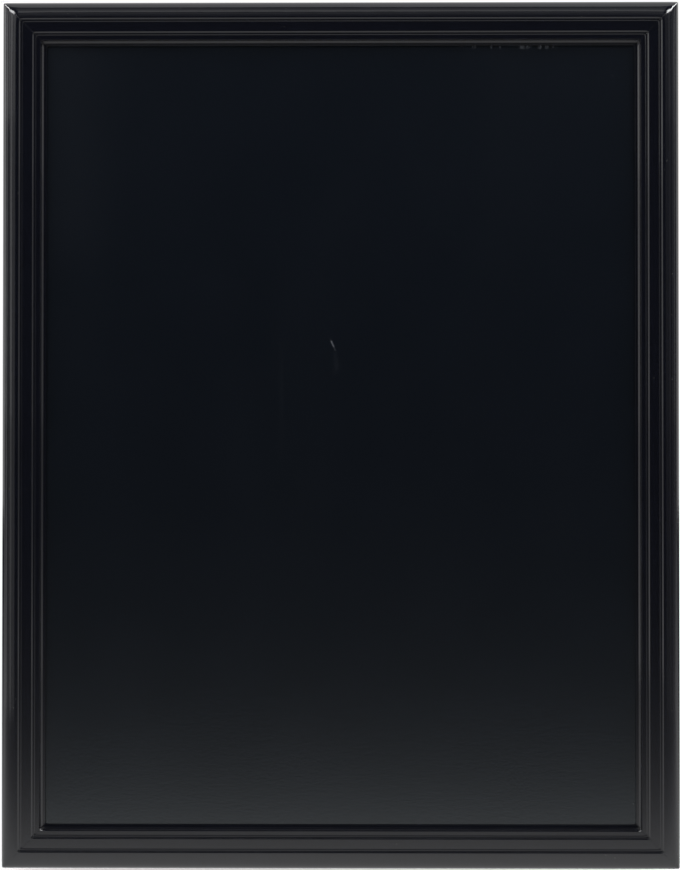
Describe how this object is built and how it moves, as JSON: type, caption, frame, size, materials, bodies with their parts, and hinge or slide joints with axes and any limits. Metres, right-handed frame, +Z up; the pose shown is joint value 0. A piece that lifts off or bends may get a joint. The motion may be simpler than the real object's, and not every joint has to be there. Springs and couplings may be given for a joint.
{
  "type": "wall chalkboard",
  "caption": "Upright wall chalkboard: a matt black writing panel in a mitred, stepped black moulding, hung on ring hangers.",
  "frame": {"origin": "on the wall's surface, midway between the pivots of the two hanging rings", "axes": "+Z up, +Y into the wall (the writing face looks along -Y), +X to the right as one reads the board"},
  "size_m": [0.703, 0.0262, 0.9],
  "materials": {
    "black_lacquer": "satin black lacquer on wood",
    "chalkboard_coat": "matt blue-black chalkboard coat on hardboard",
    "zinc_plated_steel": "zinc plated",
    "black_rubber": "matt"
  },
  "bodies": {
    "board": {"top_rail": "black_lacquer", "bottom_rail": "black_lacquer", "left_stile": "black_lacquer", "right_stile": "black_lacquer", "writing_panel": "chalkboard_coat", "panel_point_top_1": "zinc_plated_steel", "panel_point_top_2": "zinc_plated_steel", "panel_point_top_3": "zinc_plated_steel", "panel_point_bottom_1": "zinc_plated_steel", "panel_point_bottom_2": "zinc_plated_steel", "panel_point_bottom_3": "zinc_plated_steel", "panel_point_left_1": "zinc_plated_steel", "panel_point_left_2": "zinc_plated_steel", "panel_point_left_3": "zinc_plated_steel", "panel_point_left_4": "zinc_plated_steel", "panel_point_right_1": "zinc_plated_steel", "panel_point_right_2": "zinc_plated_steel", "panel_point_right_3": "zinc_plated_steel", "panel_point_right_4": "zinc_plated_steel", "v_nail_top_left_outer": "zinc_plated_steel", "v_nail_top_left_inner": "zinc_plated_steel", "v_nail_top_right_outer": "zinc_plated_steel", "v_nail_top_right_inner": "zinc_plated_steel", "v_nail_bottom_left_outer": "zinc_plated_steel", "v_nail_bottom_left_inner": "zinc_plated_steel", "v_nail_bottom_right_outer": "zinc_plated_steel", "v_nail_bottom_right_inner": "zinc_plated_steel", "left_hanger_strap": "zinc_plated_steel", "right_hanger_strap": "zinc_plated_steel", "left_hanger_upper_screw": "zinc_plated_steel", "left_hanger_lower_screw": "zinc_plated_steel", "right_hanger_upper_screw": "zinc_plated_steel", "right_hanger_lower_screw": "zinc_plated_steel", "left_bumper": "black_rubber", "right_bumper": "black_rubber"},
    "left_ring": {"left_hanging_ring": "zinc_plated_steel"},
    "right_ring": {"right_hanging_ring": "zinc_plated_steel"}
  },
  "joints": [
    {"name": "left_ring_swing", "type": "hinge", "parent": "board", "child": "left_ring", "pos_m": [-0.33294, -0.0026, 0], "axis": [-1, 0, 0], "range_deg": [0, 178]},
    {"name": "right_ring_swing", "type": "hinge", "parent": "board", "child": "right_ring", "pos_m": [0.33294, -0.0026, 0], "axis": [-1, 0, 0], "range_deg": [0, 178]}
  ]
}
